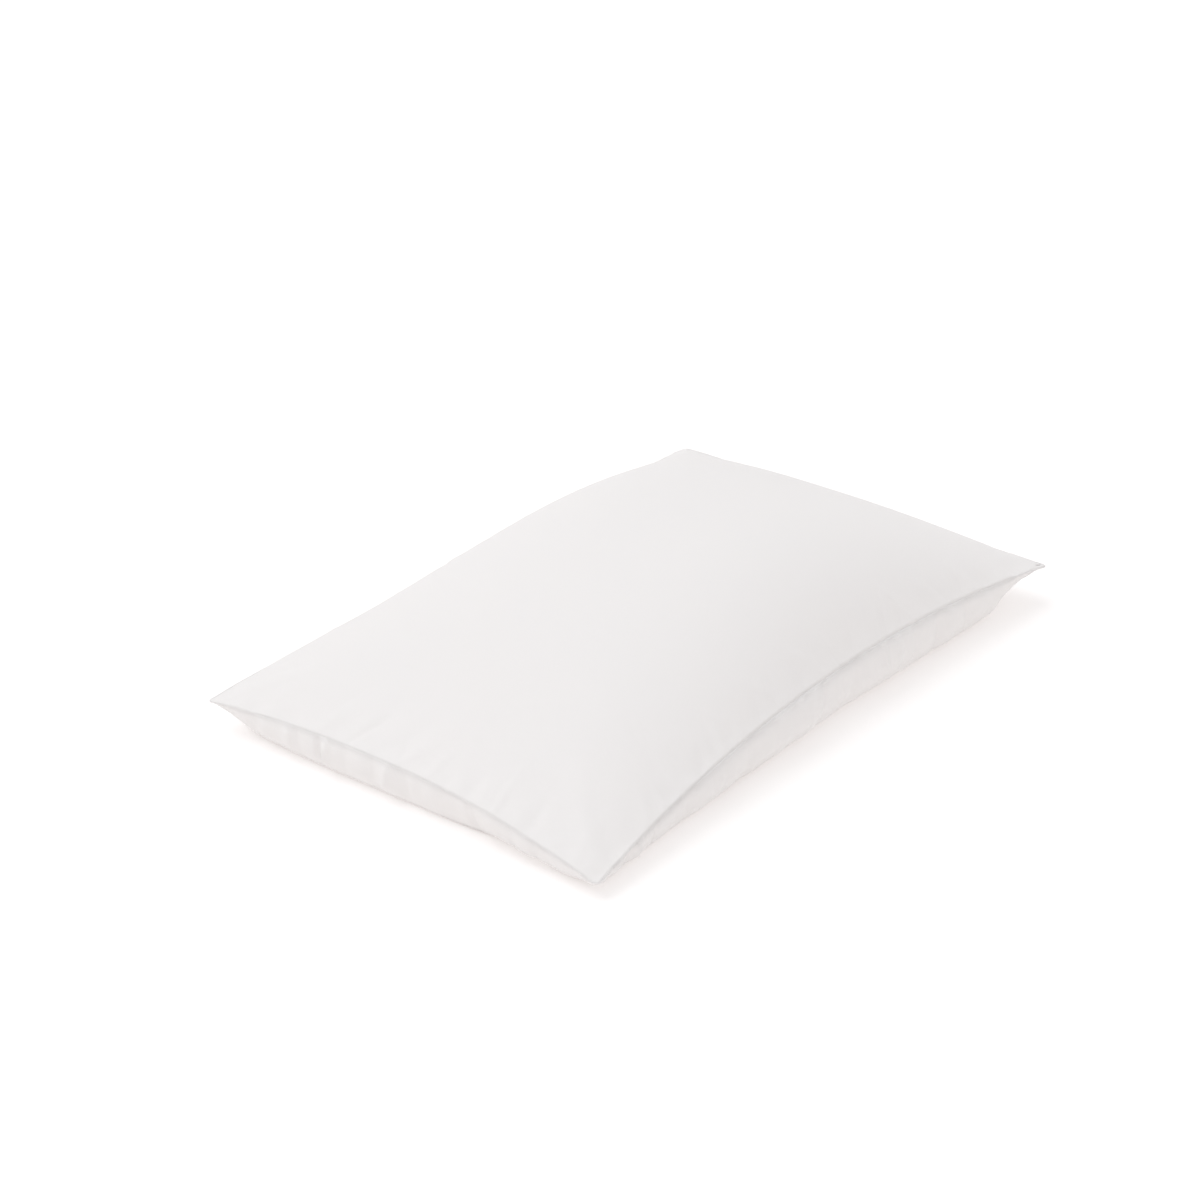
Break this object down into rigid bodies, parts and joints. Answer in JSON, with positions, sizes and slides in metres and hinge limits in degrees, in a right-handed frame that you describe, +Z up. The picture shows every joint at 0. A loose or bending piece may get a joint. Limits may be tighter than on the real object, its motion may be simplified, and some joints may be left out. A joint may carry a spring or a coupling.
{
  "type": "bed pillow",
  "caption": "Plump rectangular bed pillow: a soft fibre-filled insert with a piped edge inside a plain envelope-ended cotton pillowcase.",
  "frame": {"origin": "on the surface the pillow lies on, under the middle of its bounding box", "axes": "+Z up, +X along the pillow towards the mouth of the pillowcase, +Y across the pillow"},
  "size_m": [0.735, 0.468, 0.1401],
  "materials": {
    "case_cotton": "plain white cotton percale, fine weave, soft matt sheen",
    "case_thread": "white polyester sewing thread",
    "label_tape": "blank white woven tape",
    "ticking": "white cotton ticking, close weave",
    "hollowfibre": "white polyester hollowfibre",
    "piping_cord": "twisted cotton cord",
    "piping_tape": "bias-cut white cotton",
    "ticking_thread": "white polyester sewing thread"
  },
  "bodies": {
    "pillowcase": {"case_front_panel": "case_cotton", "case_back_panel": "case_cotton", "case_back_hem": "case_cotton", "case_back_hem_stitching": "case_thread", "case_inner_flap": "case_cotton", "case_flap_hem": "case_cotton", "case_flap_hem_stitching": "case_thread", "case_tack_near": "case_thread", "case_tack_far": "case_thread", "case_side_seam_near": "case_cotton", "case_side_seam_far": "case_cotton", "case_end_seam": "case_cotton", "case_care_label": "label_tape"},
    "insert": {"insert_ticking_top": "ticking", "insert_ticking_bottom": "ticking", "insert_fill": "hollowfibre", "insert_piping_cord": "piping_cord", "insert_piping_cover": "piping_tape", "insert_closing_stitching": "ticking_thread", "insert_care_label": "label_tape"}
  },
  "joints": [
    {"name": "insert_slide", "type": "slide", "parent": "pillowcase", "child": "insert", "axis": [1, 0, 0], "range_m": [0, 0.75], "deforming": ["case_front_panel", "case_back_panel", "case_back_hem", "case_back_hem_stitching", "case_inner_flap", "case_flap_hem", "case_flap_hem_stitching", "case_tack_near", "case_tack_far", "case_side_seam_near", "case_side_seam_far", "case_end_seam", "case_care_label"]}
  ]
}
